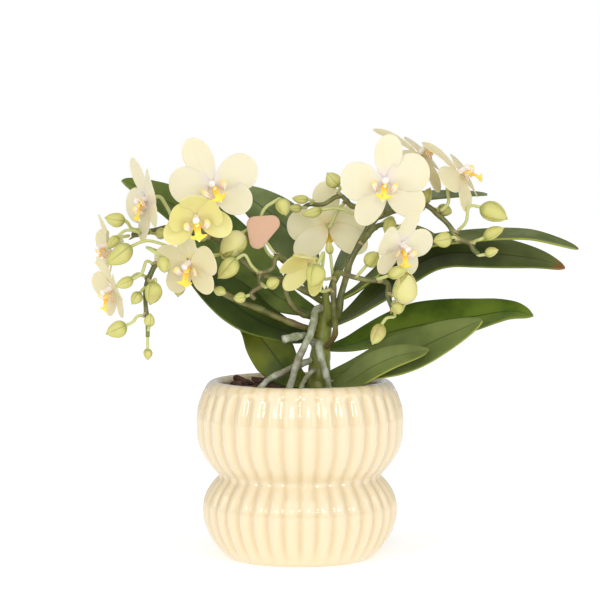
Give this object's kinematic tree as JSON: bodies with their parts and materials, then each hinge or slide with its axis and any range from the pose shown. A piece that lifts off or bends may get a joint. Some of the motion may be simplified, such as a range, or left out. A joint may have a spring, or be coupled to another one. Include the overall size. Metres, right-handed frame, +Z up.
{
  "type": "potted orchid",
  "caption": "Small many-flowered moth orchid with cream-yellow blooms, buds, leaves and aerial roots, in a nursery pot inside a fluted two-bulge cover pot.",
  "frame": {"origin": "middle of the cover pot's flat underside", "axes": "+Z up the pot's axis; the front of the plant looks along -Y, and its longer leaves reach along +X"},
  "size_m": [0.2898, 0.1429, 0.2566],
  "materials": {
    "glaze": "glossy butter-yellow glaze",
    "nursery_plastic": "matte black",
    "bark": "rough bark chips",
    "stem": "satin yellow-green",
    "leaf": "glossy dark green",
    "root": "matte silver-green",
    "spike": "satin brown-green",
    "petal": "soft cream-yellow",
    "bud": "satin yellow-green",
    "tag": "plain peach card"
  },
  "bodies": {
    "root": {"bark_mix": "bark", "branch_inner": "spike", "branch_top": "spike", "bud_centre_1": "bud", "bud_centre_2": "bud", "bud_centre_3": "bud", "bud_centre_4": "bud", "bud_centre_5": "bud", "bud_left_1": "bud", "bud_left_2": "bud", "bud_left_3": "bud", "bud_left_4": "bud", "bud_left_5": "bud", "bud_left_6": "bud", "bud_left_7": "bud", "bud_left_8": "bud", "bud_right_1": "bud", "bud_right_2": "bud", "bud_right_3": "bud", "bud_right_5": "bud", "bud_right_6": "bud", "bud_right_7": "bud", "bud_top_1": "bud", "bud_top_2": "bud", "ceramic_pot": "glaze", "flower_back_centre": "petal", "flower_crown_left": "petal", "flower_crown_right": "petal", "flower_front_left": "petal", "flower_front_right": "petal", "flower_low_left": "petal", "flower_opening_centre": "petal", "flower_side_left_high": "petal", "flower_side_left_low": "petal", "flower_side_left_middle": "petal", "flower_side_right_inner": "petal", "flower_side_right_outer": "petal", "leaf_left_back": "leaf", "leaf_left_bottom": "leaf", "leaf_left_low": "leaf", "leaf_left_top": "leaf", "leaf_right_back": "leaf", "leaf_right_bottom": "leaf", "leaf_right_front": "leaf", "leaf_right_high": "leaf", "leaf_right_low": "leaf", "leaf_right_middle": "leaf", "nursery_pot": "nursery_plastic", "plant_tag": "tag", "root_front": "root", "root_left": "root", "root_right": "root", "root_short": "root", "root_stub": "root", "spike_centre": "spike", "spike_front": "spike", "spike_left_high": "spike", "spike_left_low": "spike", "spike_right": "spike", "stem": "stem"}
  },
  "joints": []
}
